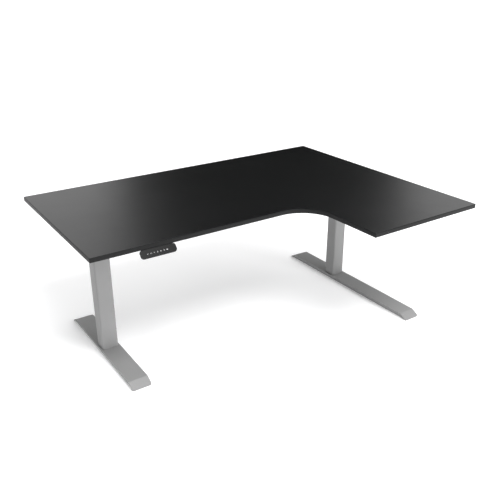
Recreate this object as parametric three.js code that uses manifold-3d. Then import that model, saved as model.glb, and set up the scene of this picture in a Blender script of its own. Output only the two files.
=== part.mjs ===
// Corner standing desk on two three-stage electric lifting columns, at its lowest height.
// Millimetres. +X is right, +Y is towards the back edge, +Z is up. The origin is on the floor,
// below the middle of the rectangle that the corner-shaped top fills.

import * as THREE from 'three';
import { mergeVertices } from 'three/addons/utils/BufferGeometryUtils.js';
import Module from 'manifold-3d';

const wasm = await Module();
wasm.setup();

// ---- Driving dimensions ---------------------------------------------------------------------

const GAP = 0.3;                 // clearance kept between neighbouring pieces

const TOP_HEIGHT = 640;          // top surface above the floor, columns fully retracted
const TOP_THICK = 19;
const TOP_WIDTH = 1600;
const TOP_DEPTH = 1200;          // depth along the right side, down to the end of the return
const MAIN_DEPTH = 800;          // depth along the left side
const RETURN_WIDTH = 600;
const NOTCH_RADIUS = 150;        // concave corner in front of the person
const NOTCH_SEGMENTS = 12;       // half the number of facets in that corner
const BAND_THICK = 1.2;
const BAND_GAP = 0.2;

const COLUMN_X = { left: -631, right: 711 };
const COLUMN_Y = 181;
const STAGE_WALL = 2;
const OUTER_STAGE = { width: 73, depth: 67, radius: 8, bottom: 24.3, top: 558 };
const MIDDLE_STAGE = { width: 65.4, depth: 59.4, radius: 6.5, bottom: 34, top: 566 };
const INNER_STAGE = { width: 57.8, depth: 51.8, radius: 5, bottom: 46, top: 573.7 };
const GUIDE_SKIRT = 40;
const GUIDE_FLANGE = 3.4;

const FOOT = { width: 88, bottom: 1, top: 24, back: 518, bevel: 40, wall: 2.5, corner: 10 };
const FOOT_UNDERCUT = 8;         // how far each side wall leans in from its top edge to the floor
const FOOT_FRONT = { left: -174, right: -402 };
const FOOT_BOLTS = { x: 22, y: 19 };
const GLIDE_INSET = 88;          // glide centre from the foot's tip
const GLIDE_RADIUS = 17;
const GLIDE_BRIDGE = { half: 38, length: 40, bottom: 10, top: 13 };

const PLATE_THICK = 6;           // plates welded into the lower ends of the tubes
const NUT_TUBE = { radius: 17, bore: 15, nutBottom: 365, top: 385 };
const CARRIER = { radius: 21, bore: 19, capBottom: 530, top: 545 };
const HOLLOW_SCREW = { radius: 10, bore: 7, bottom: 38, top: 527 };
const SPINDLE = { radius: 6, collarRadius: 6.7, bottom: 186, collarTop: 202, top: 606 };

const HEAD = { length: 110, depth: 184, bottom: 574, wall: 3 };
const WHEEL_RADIUS = 18;
const WHEEL_TEETH = 24;
const WORM_RADIUS = 7;
const WORM_Y = WHEEL_RADIUS + WORM_RADIUS + 0.5;
const DRIVE_Z = 597;             // height of the worm and motor axis
const MOTOR = { radius: 19.6, start: 34.6, length: 100, shaftDepth: 26 };
const SHAFT_BORE = 4.6;          // bore round the worm's shaft, radius
const GEAR_CASE = { length: 58, depth: 62, bottom: HEAD.bottom + HEAD.wall + GAP, top: 613 };
const GEAR_CHAMBER = { length: 51, depth: 55, bottom: 582, top: 609 };

const RAIL = { offset: 74, width: 32, height: 28, wall: 2, middle: 600 };
const RAIL_SPLIT = { left: 180, right: -80 };
const ARM = { width: 60, root: 40, tip: 14, wall: 3 };
const ARM_FRONT = { left: -120, right: -470 };
const ARM_BACK = 480;
const SCREW_PLACES = [0.3, 0.62, 0.92];        // wood screws, as parts of an arm's length

const CONTROL_BOX = { left: -30, right: 200, front: 130, back: 226, bottom: 588, wall: 2 };

const HANDSET = { centre: -536, width: 148, thick: 7, corner: 12, wall: 2 };
const FACE_TILT = 49.3 * Math.PI / 180;        // slope of the key face above the horizontal
const FACE_LIP = -34;            // lower edge of the face, down its slope from the top's underside
const FACE_OVER = 2;             // the face's outline runs on this far and is cut off level
const COVER = { width: 108, plate: 2, back: -172, flangeBack: -142, flange: 3 };
const KEY_COUNT = 7;
const KEY_PITCH = 13.45;
const KEY_RADIUS = 5.3;
const KEY_ROW_X = -542;
const KEY_LINE = -18.3;          // middle of the keys, down the slope of the face

const TOP_BOTTOM = TOP_HEIGHT - TOP_THICK;
const MOUNT_PLANE = TOP_BOTTOM - GAP;          // highest plane of what is fixed under the top
const HALF_WIDTH = TOP_WIDTH / 2;
const HALF_DEPTH = TOP_DEPTH / 2;
const MAIN_FRONT = HALF_DEPTH - MAIN_DEPTH;    // front edge of the main part
const RETURN_LEFT = HALF_WIDTH - RETURN_WIDTH;

// ---- Materials ------------------------------------------------------------------------------

function finish(color, roughness, metalness) {
  return new THREE.MeshStandardMaterial({ color, roughness, metalness });
}

const blackLaminate = finish(0x26282b, 0.42, 0);
const blackEdging = finish(0x1c1d1f, 0.5, 0);
const greyPowderCoat = finish(0x8f9092, 0.5, 0.2);
const blackPlastic = finish(0x2a2b2d, 0.5, 0);
const keyPlastic = finish(0x3a3b3d, 0.55, 0);
const guidePlastic = finish(0x1f2022, 0.6, 0);
const brightSteel = finish(0xb4b6b8, 0.3, 0.9);
const zincSteel = finish(0xa8a9a4, 0.4, 0.8);
const castMetal = finish(0x6d6f72, 0.5, 0.7);
const wheelPlastic = finish(0xcfc8b4, 0.5, 0);
const rubber = finish(0x161616, 0.8, 0);
const boardGreen = finish(0x1f4a35, 0.5, 0);

// ---- Geometry helpers -----------------------------------------------------------------------

function solidOf(geometry) {
  const bare = geometry.clone();
  bare.deleteAttribute('normal');
  bare.deleteAttribute('uv');
  const merged = mergeVertices(bare, 1e-4);
  const faces = [];
  for (let i = 0; i < merged.index.count; i += 3) {
    const [a, b, c] = [0, 1, 2].map((k) => merged.index.getX(i + k));
    if (a !== b && b !== c && c !== a) faces.push(a, b, c);
  }
  return new wasm.Manifold(new wasm.Mesh({
    numProp: 3,
    vertProperties: new Float32Array(merged.attributes.position.array),
    triVerts: new Uint32Array(faces),
  }));
}

function geometryOf(solid) {
  const mesh = solid.getMesh();
  const geometry = new THREE.BufferGeometry();
  geometry.setAttribute('position', new THREE.BufferAttribute(mesh.vertProperties, 3));
  geometry.setIndex(new THREE.BufferAttribute(mesh.triVerts, 1));
  geometry.computeVertexNormals();
  return geometry;
}

// The first geometry with the others cut out of it.
function cut(body, ...tools) {
  return geometryOf(tools.reduce((solid, tool) => solid.subtract(solidOf(tool)), solidOf(body)));
}

function join(body, ...others) {
  return geometryOf(others.reduce((solid, other) => solid.add(solidOf(other)), solidOf(body)));
}

function common(body, other) {
  return geometryOf(solidOf(body).intersect(solidOf(other)));
}

function box(x0, x1, y0, y1, z0, z1) {
  const geometry = new THREE.BoxGeometry(x1 - x0, y1 - y0, z1 - z0);
  return geometry.translate((x0 + x1) / 2, (y0 + y1) / 2, (z0 + z1) / 2);
}

// Outline of a rectangle with round corners, centred on (x, y).
function roundedOutline(width, depth, radius, x = 0, y = 0) {
  const right = x + width / 2 - radius;
  const left = x - width / 2 + radius;
  const back = y + depth / 2 - radius;
  const front = y - depth / 2 + radius;
  const outline = new THREE.Shape();
  outline.absarc(right, front, radius, -Math.PI / 2, 0);
  outline.absarc(right, back, radius, 0, Math.PI / 2);
  outline.absarc(left, back, radius, Math.PI / 2, Math.PI);
  outline.absarc(left, front, radius, Math.PI, Math.PI * 1.5);
  outline.closePath();
  return outline;
}

// A flat outline raised from z0 to z1.
function raise(outline, z0, z1, curveSegments = 2) {
  const settings = { depth: z1 - z0, bevelEnabled: false, curveSegments };
  return new THREE.ExtrudeGeometry(outline, settings).translate(0, 0, z0);
}

// An outline drawn in the Y-Z plane, swept along X from x0 to x1.
function sweepX(points, x0, x1) {
  const outline = new THREE.Shape(points.map(([y, z]) => new THREE.Vector2(y, z)));
  const settings = { depth: x1 - x0, bevelEnabled: false };
  const geometry = new THREE.ExtrudeGeometry(outline, settings);
  return geometry.rotateX(Math.PI / 2).rotateZ(Math.PI / 2).translate(x0, 0, 0);
}

// An outline drawn in the X-Z plane, swept along Y from y0 to y1.
function sweepY(points, y0, y1) {
  const outline = new THREE.Shape(points.map(([x, z]) => new THREE.Vector2(x, z)));
  const geometry = new THREE.ExtrudeGeometry(outline, { depth: y1 - y0, bevelEnabled: false });
  return geometry.rotateX(Math.PI / 2).translate(0, y1, 0);
}

// A profile of [radius, height] points turned about Z; it starts and ends on the axis or closes.
function turn(profile, sides = 20) {
  const points = profile.map(([r, z]) => new THREE.Vector2(r, z));
  return new THREE.LatheGeometry(points, sides).rotateX(Math.PI / 2);
}

function rod(radius, z0, z1, sides = 20) {
  return turn([[0, z0], [radius, z0], [radius, z1], [0, z1]], sides);
}

// A ring about Z: outer and inner radius between two heights.
function ring(outer, inner, z0, z1, sides = 20) {
  return turn([[inner, z0], [outer, z0], [outer, z1], [inner, z1], [inner, z0]], sides);
}

// Turns something made along Z so that it lies along +X (inward = 1) or -X (inward = -1).
function layAlongX(geometry, inward) {
  return geometry.rotateY(inward * Math.PI / 2);
}

// Round cable through the given points.
function cable(points, diameter, steps) {
  const sides = 8;
  const section = new THREE.Shape();
  for (let i = 0; i < sides; i += 1) {
    const angle = (i / sides) * 2 * Math.PI;
    const [u, v] = [Math.cos(angle) * diameter / 2, Math.sin(angle) * diameter / 2];
    if (i === 0) section.moveTo(u, v);
    else section.lineTo(u, v);
  }
  section.closePath();
  const places = points.map((point) => new THREE.Vector3(...point));
  const path = new THREE.CatmullRomCurve3(places, false, 'centripetal');
  return new THREE.ExtrudeGeometry(section, { steps, bevelEnabled: false, extrudePath: path });
}

const desk = new THREE.Group();

function place(parent, name, geometry, material, x = 0, y = 0, z = 0) {
  const mesh = new THREE.Mesh(geometry, material);
  mesh.name = name;
  mesh.position.set(x, y, z);
  parent.add(mesh);
  return mesh;
}

// ---- Top ------------------------------------------------------------------------------------

// The corner-shaped outline, drawn `inset` inside the finished edge.
function topOutline(inset) {
  const right = HALF_WIDTH - inset;
  const back = HALF_DEPTH - inset;
  const left = -HALF_WIDTH + inset;
  const front = MAIN_FRONT + inset;
  const inner = RETURN_LEFT + inset;
  const end = -HALF_DEPTH + inset;
  const outline = new THREE.Shape();
  outline.moveTo(right, end);
  outline.lineTo(right, back);
  outline.lineTo(left, back);
  outline.lineTo(left, front);
  const [arcX, arcY] = [RETURN_LEFT - NOTCH_RADIUS, MAIN_FRONT - NOTCH_RADIUS];
  outline.absarc(arcX, arcY, NOTCH_RADIUS + inset, Math.PI / 2, 0, true);
  outline.lineTo(inner, end);
  outline.closePath();
  return outline;
}

function desktop() {
  return raise(topOutline(BAND_THICK + BAND_GAP), TOP_BOTTOM, TOP_HEIGHT, NOTCH_SEGMENTS);
}

function edgeBand() {
  const outside = raise(topOutline(0), TOP_BOTTOM, TOP_HEIGHT, NOTCH_SEGMENTS);
  const inside = raise(topOutline(BAND_THICK), TOP_BOTTOM - 1, TOP_HEIGHT + 1, NOTCH_SEGMENTS);
  return cut(outside, inside);
}

place(desk, 'desktop', desktop(), blackLaminate);
place(desk, 'edge_band', edgeBand(), blackEdging);

// ---- Feet -----------------------------------------------------------------------------------

// Side view of the foot, sloping at both ends; `inset` draws it inside the sheet, up to `ceiling`.
function footSide(front, inset, ceiling) {
  const { bottom, back, bevel, wall } = FOOT;
  const slant = inset * 2.2;
  const low = bottom - inset;
  const knee = bottom + wall - inset * 0.4;
  const run = bevel + inset * 0.5;
  return [[front + slant, low], [back - slant, low], [back - slant, knee],
    [back - run, ceiling], [front + run, ceiling], [front + slant, knee]];
}

// Section of the foot, drawn `inset` inside the sheet: its sides lean in towards the floor.
function footSection(inset) {
  const { width, bottom, top } = FOOT;
  const [wide, narrow] = [width / 2 - inset, width / 2 - FOOT_UNDERCUT - inset];
  const [low, high] = [bottom - inset, top - inset];
  return [[-narrow, low], [narrow, low], [wide, high], [-wide, high]];
}

// Folded steel channel, open below, between two full-width sloping end plates.
// A bridge at each end takes a glide, and the column is bolted on from below.
function foot(front) {
  const { width, bottom, top, back, wall, corner } = FOOT;
  const channel = common(sweepY(footSection(0), front, back), sweepX(footSide(front, 0, top), -width, width));
  const hollow = common(
    sweepY(footSection(wall), front, back),
    sweepX(footSide(front, wall, top - wall), -width, width),
  );
  const plan = roundedOutline(width, back - front, corner, 0, (front + back) / 2);
  const ends = cut(
    common(sweepX(footSide(front, 0, top), -width, width), raise(plan, bottom, top)),
    sweepX(footSide(front, wall, top + 1), -width, width),
  );
  const glideYs = [front + GLIDE_INSET, back - GLIDE_INSET];
  const { half, length } = GLIDE_BRIDGE;
  const bridges = glideYs.map((y) => (
    box(-half, half, y - length / 2, y + length / 2, GLIDE_BRIDGE.bottom, GLIDE_BRIDGE.top)
  ));
  const glideHoles = glideYs.map((y) => rod(4.4, 0, 20, 16).translate(0, y, 0));
  const boltHoles = footBoltPlaces().map(([x, y]) => (
    rod(4.5, top - wall - 2, top + 2, 12).translate(x, COLUMN_Y + y, 0)
  ));
  return cut(join(cut(channel, hollow), ends, ...bridges), ...glideHoles, ...boltHoles);
}

// The four bolts between foot and column, from the column's axis.
function footBoltPlaces() {
  return [[-1, -1], [-1, 1], [1, -1], [1, 1]].map(([i, j]) => [i * FOOT_BOLTS.x, j * FOOT_BOLTS.y]);
}

// Round pad on a threaded stud.
function glide() {
  return turn([[0, 0], [GLIDE_RADIUS - 2, 0], [GLIDE_RADIUS, 2], [GLIDE_RADIUS, 5], [4, 5],
    [4, 17], [3.2, 18], [0, 18]], 20);
}

for (const side of ['left', 'right']) {
  const front = FOOT_FRONT[side];
  place(desk, `${side}_foot`, foot(front), greyPowderCoat, COLUMN_X[side]);
  place(desk, `${side}_front_glide`, glide(), blackPlastic, COLUMN_X[side], front + GLIDE_INSET);
  place(desk, `${side}_back_glide`, glide(), blackPlastic, COLUMN_X[side], FOOT.back - GLIDE_INSET);
}

// ---- Lifting columns ------------------------------------------------------------------------

function stageTube({ width, depth, radius, bottom, top }) {
  const outside = raise(roundedOutline(width, depth, radius), bottom, top, 3);
  const bore = roundedOutline(width - 2 * STAGE_WALL, depth - 2 * STAGE_WALL, radius - STAGE_WALL);
  return cut(outside, raise(bore, bottom - 1, top + 1));
}

// The outer tube has its foot plate welded in, with four threaded holes.
function outerStage() {
  const { width, depth, bottom } = OUTER_STAGE;
  const plateTop = bottom + PLATE_THICK;
  const plate = box(-width / 2 + 1, width / 2 - 1, -depth / 2 + 1, depth / 2 - 1, bottom, plateTop);
  const holes = footBoltPlaces().map(([x, y]) => rod(3.9, bottom - 1, plateTop + 1, 12).translate(x, y, 0));
  return cut(join(stageTube(OUTER_STAGE), plate), ...holes);
}

// Plastic collar on a tube's mouth: a flange on top and a skirt in the gap to the next tube.
function guideCollar(tube, next) {
  const { width, depth, radius, top } = tube;
  const flange = raise(roundedOutline(width, depth, radius), top + GAP, top + GAP + GUIDE_FLANGE);
  const inside = 2 * (STAGE_WALL + GAP);
  const skirtOutline = roundedOutline(width - inside, depth - inside, radius - STAGE_WALL);
  const skirt = raise(skirtOutline, top - GUIDE_SKIRT, top + GAP + 1);
  const bore = roundedOutline(next.width + 2 * GAP, next.depth + 2 * GAP, next.radius);
  return cut(join(flange, skirt), raise(bore, top - GUIDE_SKIRT - 1, top + 10));
}

// Fixed tube on the foot plate with the lower nut at its top.
function nutTube() {
  const { radius, bore, nutBottom, top } = NUT_TUBE;
  const bottom = OUTER_STAGE.bottom + PLATE_THICK + GAP;
  const thread = HOLLOW_SCREW.radius + GAP;
  return turn([[bore, bottom], [radius, bottom], [radius, top], [thread, top], [thread, nutBottom],
    [bore, nutBottom], [bore, bottom]]);
}

// Floor plate of the middle stage with a tube that carries the upper nut in its cap.
function middleCarrier() {
  const { width, depth, radius, bottom } = MIDDLE_STAGE;
  const inside = 2 * (STAGE_WALL + GAP);
  const outline = roundedOutline(width - inside, depth - inside, radius - STAGE_WALL);
  const plate = raise(outline, bottom, bottom + PLATE_THICK);
  const tube = rod(CARRIER.radius, bottom + PLATE_THICK / 2, CARRIER.top);
  const bore = rod(CARRIER.bore, bottom - 1, CARRIER.capBottom);
  const thread = rod(SPINDLE.radius + GAP, CARRIER.capBottom - 10, CARRIER.top + 5);
  return cut(join(plate, tube), bore, thread);
}

function hollowScrew() {
  const { radius, bore, bottom, top } = HOLLOW_SCREW;
  return ring(radius, bore, bottom, top);
}

// Spindle with a splined collar at its lower end and a keyed end in the worm wheel.
function spindle() {
  const { radius, collarRadius, bottom, collarTop, top } = SPINDLE;
  return turn([[0, bottom], [collarRadius, bottom], [collarRadius, collarTop], [radius, collarTop],
    [radius, top], [0, top]]);
}

// Toothed wheel keyed on the spindle.
function wormWheel() {
  const depth = 1.8;
  const thick = 12;
  const outline = new THREE.Shape();
  for (let i = 0; i < WHEEL_TEETH; i += 1) {
    for (const [part, low] of [[0, depth], [0.25, depth], [0.45, 0], [0.8, 0]]) {
      const angle = ((i + part) / WHEEL_TEETH) * 2 * Math.PI;
      const [x, y] = [(WHEEL_RADIUS - low) * Math.cos(angle), (WHEEL_RADIUS - low) * Math.sin(angle)];
      if (i === 0 && part === 0) outline.moveTo(x, y);
      else outline.lineTo(x, y);
    }
  }
  outline.closePath();
  const wheel = raise(outline, DRIVE_Z - thick / 2, DRIVE_Z + thick / 2);
  return cut(wheel, rod(SPINDLE.radius + GAP, DRIVE_Z - thick, DRIVE_Z + thick));
}

// One-start worm: an off-centre round section turned steadily along its length, on a shaft.
function worm() {
  const length = 28;
  const turns = 2;
  const throwOut = 1.3;
  const section = new THREE.Shape();
  section.absarc(throwOut, 0, WORM_RADIUS - 1.5, 0, 2 * Math.PI);
  const settings = { depth: length, steps: 18, bevelEnabled: false, curveSegments: 5 };
  const thread = new THREE.ExtrudeGeometry(section, settings);
  const points = thread.attributes.position;
  for (let i = 0; i < points.count; i += 1) {
    const angle = (points.getZ(i) / length) * turns * 2 * Math.PI;
    const [x, y] = [points.getX(i), points.getY(i)];
    points.setX(i, x * Math.cos(angle) - y * Math.sin(angle));
    points.setY(i, x * Math.sin(angle) + y * Math.cos(angle));
  }
  return join(thread.translate(0, 0, -length / 2), rod(4, -17, 55, 16));
}

// Closed gear case round the wheel and the worm, with bores for the spindle and the motor shaft.
function gearbox(inward) {
  const [x, y] = [5 * inward, 7];
  const outline = roundedOutline(GEAR_CASE.length, GEAR_CASE.depth, 6, x, y);
  const chamber = roundedOutline(GEAR_CHAMBER.length, GEAR_CHAMBER.depth, 4, x, y);
  const body = raise(outline, GEAR_CASE.bottom, GEAR_CASE.top);
  const shell = cut(body, raise(chamber, GEAR_CHAMBER.bottom, GEAR_CHAMBER.top));
  const shaftBore = layAlongX(rod(SHAFT_BORE, 20, 40, 16), inward).translate(0, WORM_Y, DRIVE_Z);
  const spindleBore = rod(SPINDLE.radius + GAP + 0.5, HEAD.bottom, GEAR_CHAMBER.bottom + 2);
  return cut(shell, spindleBore, shaftBore);
}

// Motor can with a stepped nose, a rear cap and a bore for its shaft.
function motor() {
  const { radius, start, length, shaftDepth } = MOTOR;
  const end = start + length;
  const bottom = start + shaftDepth;
  return turn([[SHAFT_BORE, start], [radius - 4, start], [radius - 4, start + 3], [radius, start + 5],
    [radius, end - 12], [radius - 1.2, end - 12], [radius - 1.2, end - 3], [radius - 4, end], [0, end],
    [0, bottom], [SHAFT_BORE, bottom], [SHAFT_BORE, start]]);
}

// Welded steel box on the inner tube; the side towards the middle of the desk lets the motor out.
function columnHead(inward) {
  const { length, depth, bottom, wall } = HEAD;
  const [halfX, halfY] = [length / 2, depth / 2];
  const [floor, ceiling] = [bottom + wall, MOUNT_PLANE - wall];
  const outside = raise(roundedOutline(length, depth, 4), bottom, MOUNT_PLANE);
  const inside = box(-halfX + wall, halfX - wall, -halfY + wall, halfY - wall, floor, ceiling);
  const [near, far] = [halfX - wall - 1, halfX + 1].map((x) => x * inward).sort((a, b) => a - b);
  const halfWindow = MOTOR.radius + 2.4;
  const window = box(near, far, WORM_Y - halfWindow, WORM_Y + halfWindow, floor, ceiling);
  return cut(outside, inside, window, rod(11, bottom - 1, floor + 1));
}

for (const side of ['left', 'right']) {
  const inward = side === 'left' ? 1 : -1;
  const column = new THREE.Group();
  column.position.set(COLUMN_X[side], COLUMN_Y, 0);
  desk.add(column);
  place(column, `${side}_outer_tube`, outerStage(), greyPowderCoat);
  place(column, `${side}_outer_guide`, guideCollar(OUTER_STAGE, MIDDLE_STAGE), guidePlastic);
  place(column, `${side}_nut_tube`, nutTube(), brightSteel);
  place(column, `${side}_middle_tube`, stageTube(MIDDLE_STAGE), greyPowderCoat);
  place(column, `${side}_middle_guide`, guideCollar(MIDDLE_STAGE, INNER_STAGE), guidePlastic);
  place(column, `${side}_middle_carrier`, middleCarrier(), zincSteel);
  place(column, `${side}_hollow_screw`, hollowScrew(), brightSteel);
  place(column, `${side}_inner_tube`, stageTube(INNER_STAGE), greyPowderCoat);
  place(column, `${side}_spindle`, spindle(), brightSteel);
  place(column, `${side}_worm_wheel`, wormWheel(), wheelPlastic);
  place(column, `${side}_worm`, layAlongX(worm(), inward), brightSteel, 0, WORM_Y, DRIVE_Z);
  place(column, `${side}_gearbox`, gearbox(inward), castMetal);
  place(column, `${side}_motor`, layAlongX(motor(), inward), blackPlastic, 0, WORM_Y, DRIVE_Z);
  place(column, `${side}_column_head`, columnHead(inward), greyPowderCoat);
}

// ---- Under-top frame ------------------------------------------------------------------------

// Tapering channel that carries the top, open below, from its root plate to its tip.
function supportArm(root, tip) {
  const direction = Math.sign(tip - root);
  const { width, wall } = ARM;
  const low = MOUNT_PLANE - ARM.root;
  const outer = [[root, MOUNT_PLANE], [root, low], [root + direction * 30, low],
    [tip, MOUNT_PLANE - ARM.tip], [tip, MOUNT_PLANE]];
  const start = root + direction * wall;
  const past = tip + direction;
  const ceiling = MOUNT_PLANE - wall;
  const inner = [[start, ceiling], [start, low - 2], [past, low - 2], [past, ceiling]];
  const body = sweepX(outer, -width / 2, width / 2);
  const hollow = sweepX(inner, -width / 2 + wall, width / 2 - wall);
  const holes = SCREW_PLACES.map((part) => (
    rod(2.6, ceiling - 3, MOUNT_PLANE + 2, 12).translate(0, root + (tip - root) * part, 0)
  ));
  return cut(body, hollow, ...holes);
}

for (const side of ['left', 'right']) {
  const frontRoot = COLUMN_Y - HEAD.depth / 2 - GAP;
  const backRoot = COLUMN_Y + HEAD.depth / 2 + GAP;
  const frontArm = supportArm(frontRoot, ARM_FRONT[side]);
  const backArm = supportArm(backRoot, ARM_BACK);
  place(desk, `${side}_front_arm`, frontArm, greyPowderCoat, COLUMN_X[side]);
  place(desk, `${side}_back_arm`, backArm, greyPowderCoat, COLUMN_X[side]);
}

// Straight box-section rail from x0 to x1, centred on the rail line.
function railTube(x0, x1, shrink) {
  const [halfY, halfZ] = [RAIL.width / 2 - shrink, RAIL.height / 2 - shrink];
  const outside = box(x0, x1, -halfY, halfY, RAIL.middle - halfZ, RAIL.middle + halfZ);
  const [boreY, boreZ] = [halfY - RAIL.wall, halfZ - RAIL.wall];
  return cut(outside, box(x0 - 1, x1 + 1, -boreY, boreY, RAIL.middle - boreZ, RAIL.middle + boreZ));
}

for (const [name, direction] of [['front', -1], ['back', 1]]) {
  const y = COLUMN_Y + direction * RAIL.offset;
  const leftEnd = COLUMN_X.left + HEAD.length / 2 + GAP;
  const rightEnd = COLUMN_X.right - HEAD.length / 2 - GAP;
  const sleeve = railTube(leftEnd, RAIL_SPLIT.left, 0);
  const slider = railTube(RAIL_SPLIT.right, rightEnd, RAIL.wall + GAP);
  place(desk, `${name}_rail_sleeve`, sleeve, greyPowderCoat, 0, y);
  place(desk, `${name}_rail_slider`, slider, greyPowderCoat, 0, y);
}

// ---- Electrics ------------------------------------------------------------------------------

const BOX_PORT_Z = 604;
const HANDSET_PORT_Y = 160;
const MOTOR_PORT_Y = { left: 200, right: 208 };
const LEAD_Z = 615;              // motor leads, clipped under the top
const INLET_Y = 165;
const LEAD_PORT = { x: -505, z: 610 };         // where the lead leaves the handset

// Plastic case with ports for the leads at its ends and a cut-out for the mains inlet.
function controlBox() {
  const { left, right, front, back, bottom, wall } = CONTROL_BOX;
  const [x, y] = [(left + right) / 2, (front + back) / 2];
  const shell = raise(roundedOutline(right - left, back - front, 5, x, y), bottom, MOUNT_PLANE);
  const [floor, ceiling] = [bottom + wall, MOUNT_PLANE - wall];
  const inside = box(left + wall, right - wall, front + wall, back - wall, floor, ceiling);
  const port = (x, y) => box(x - 5, x + 5, y - 4, y + 4, BOX_PORT_Z - 4, BOX_PORT_Z + 4);
  const inlet = box(right - 5, right + 5, INLET_Y - 14, INLET_Y + 14, BOX_PORT_Z - 11, BOX_PORT_Z + 11);
  return cut(shell, inside, port(left, HANDSET_PORT_Y), port(left, MOTOR_PORT_Y.left),
    port(right, MOTOR_PORT_Y.right), inlet);
}

// Recessed three-pin mains inlet.
function powerInlet() {
  const x = CONTROL_BOX.right;
  const flange = box(x + GAP, x + 2, INLET_Y - 16, INLET_Y + 16, BOX_PORT_Z - 13, BOX_PORT_Z + 13);
  const shell = box(x - 18, x + 1, INLET_Y - 13.5, INLET_Y + 13.5, BOX_PORT_Z - 10.5, BOX_PORT_Z + 10.5);
  const recess = box(x - 15, x + 3, INLET_Y - 12, INLET_Y + 12, BOX_PORT_Z - 8.5, BOX_PORT_Z + 8.5);
  const pins = [[-7, -2], [0, 2], [7, -2]].map(([y, z]) => (
    box(x - 16, x - 3, INLET_Y + y - 1, INLET_Y + y + 1, BOX_PORT_Z + z - 2, BOX_PORT_Z + z + 2)
  ));
  return join(cut(join(flange, shell), recess), ...pins);
}

function leftMotorLead() {
  const start = COLUMN_X.left + MOTOR.start + MOTOR.length + GAP;
  const y = COLUMN_Y + WORM_Y;
  return cable([[start, y, DRIVE_Z], [start + 14, y, DRIVE_Z], [start + 45, y, 608], [start + 80, y, 614],
    [-280, y - 2, LEAD_Z], [-80, MOTOR_PORT_Y.left, 614], [-50, MOTOR_PORT_Y.left, 606],
    [-36, MOTOR_PORT_Y.left, BOX_PORT_Z], [CONTROL_BOX.left - GAP, MOTOR_PORT_Y.left, BOX_PORT_Z]], 6, 30);
}

function rightMotorLead() {
  const start = COLUMN_X.right - MOTOR.start - MOTOR.length - GAP;
  const y = COLUMN_Y + WORM_Y;
  return cable([[start, y, DRIVE_Z], [start - 14, y, DRIVE_Z], [start - 45, y, 608], [start - 80, y, 614],
    [400, y + 1, LEAD_Z], [255, MOTOR_PORT_Y.right, 614], [222, MOTOR_PORT_Y.right, 606],
    [206, MOTOR_PORT_Y.right, BOX_PORT_Z], [CONTROL_BOX.right + GAP, MOTOR_PORT_Y.right, BOX_PORT_Z]], 6, 26);
}

function handsetLead() {
  const [x, y, z] = [LEAD_PORT.x, COVER.back, LEAD_PORT.z];
  const high = 617.3;
  return cable([[x, y + GAP, z], [x, y + 12, z], [x + 1, y + 32, 612], [x + 7, y + 62, 615.5],
    [x + 25, y + 107, high], [-420, 20, high], [-330, 100, high], [-220, 148, high],
    [-90, HANDSET_PORT_Y, high], [-58, HANDSET_PORT_Y, 612], [-40, HANDSET_PORT_Y, BOX_PORT_Z],
    [CONTROL_BOX.left - GAP, HANDSET_PORT_Y, BOX_PORT_Z]], 4, 42);
}

place(desk, 'control_box', controlBox(), blackPlastic);
place(desk, 'power_inlet', powerInlet(), guidePlastic);
place(desk, 'left_motor_lead', leftMotorLead(), rubber);
place(desk, 'right_motor_lead', rightMotorLead(), rubber);
place(desk, 'handset_lead', handsetLead(), rubber);

// ---- Handset --------------------------------------------------------------------------------

// The key face slopes down from a line 1 mm in front of the top's front edge, level with its
// underside. Its frame has X across, Y up the slope and Z straight out of the face.
const FACE_TOP = { y: MAIN_FRONT - 1, z: MOUNT_PLANE };

const keyFace = new THREE.Group();
keyFace.position.set(0, FACE_TOP.y, FACE_TOP.z);
keyFace.rotation.x = FACE_TILT;
desk.add(keyFace);

function alignToFace(geometry) {
  return geometry.rotateX(FACE_TILT).translate(0, FACE_TOP.y, FACE_TOP.z);
}

// Y and Z of a point `along` the slope and `out` of the face.
function facePoint(along, out) {
  const [cosine, sine] = [Math.cos(FACE_TILT), Math.sin(FACE_TILT)];
  return [FACE_TOP.y + along * cosine - out * sine, FACE_TOP.z + along * sine + out * cosine];
}

// A slab parallel to the face, `inset` inside its outline, cut off level at `ceiling`.
function faceSlab(inset, low, high, ceiling) {
  const { centre, width, corner } = HANDSET;
  const height = FACE_OVER - FACE_LIP;
  const middle = (FACE_OVER + FACE_LIP) / 2;
  const outline = roundedOutline(width - 2 * inset, height - 2 * inset, corner - inset, centre, middle);
  const above = box(centre - width, centre + width, FACE_TOP.y - 20, FACE_TOP.y + 60, ceiling, ceiling + 60);
  return cut(alignToFace(raise(outline, low, high, 4)), above);
}

const keyPlaces = [];
for (let i = 0; i < KEY_COUNT; i += 1) {
  keyPlaces.push(KEY_ROW_X + (i - (KEY_COUNT - 1) / 2) * KEY_PITCH);
}

// Shallow shell with the key face in front, open behind, and a hole for each key.
function handsetCase() {
  const { thick, wall } = HANDSET;
  const shell = faceSlab(0, -thick, 0, MOUNT_PLANE);
  const hollow = faceSlab(wall, -thick - 1, -wall, MOUNT_PLANE - wall);
  const holes = keyPlaces.map((x) => alignToFace(rod(KEY_RADIUS + GAP, -5, 3, 16).translate(x, KEY_LINE, 0)));
  return cut(shell, hollow, ...holes);
}

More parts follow.
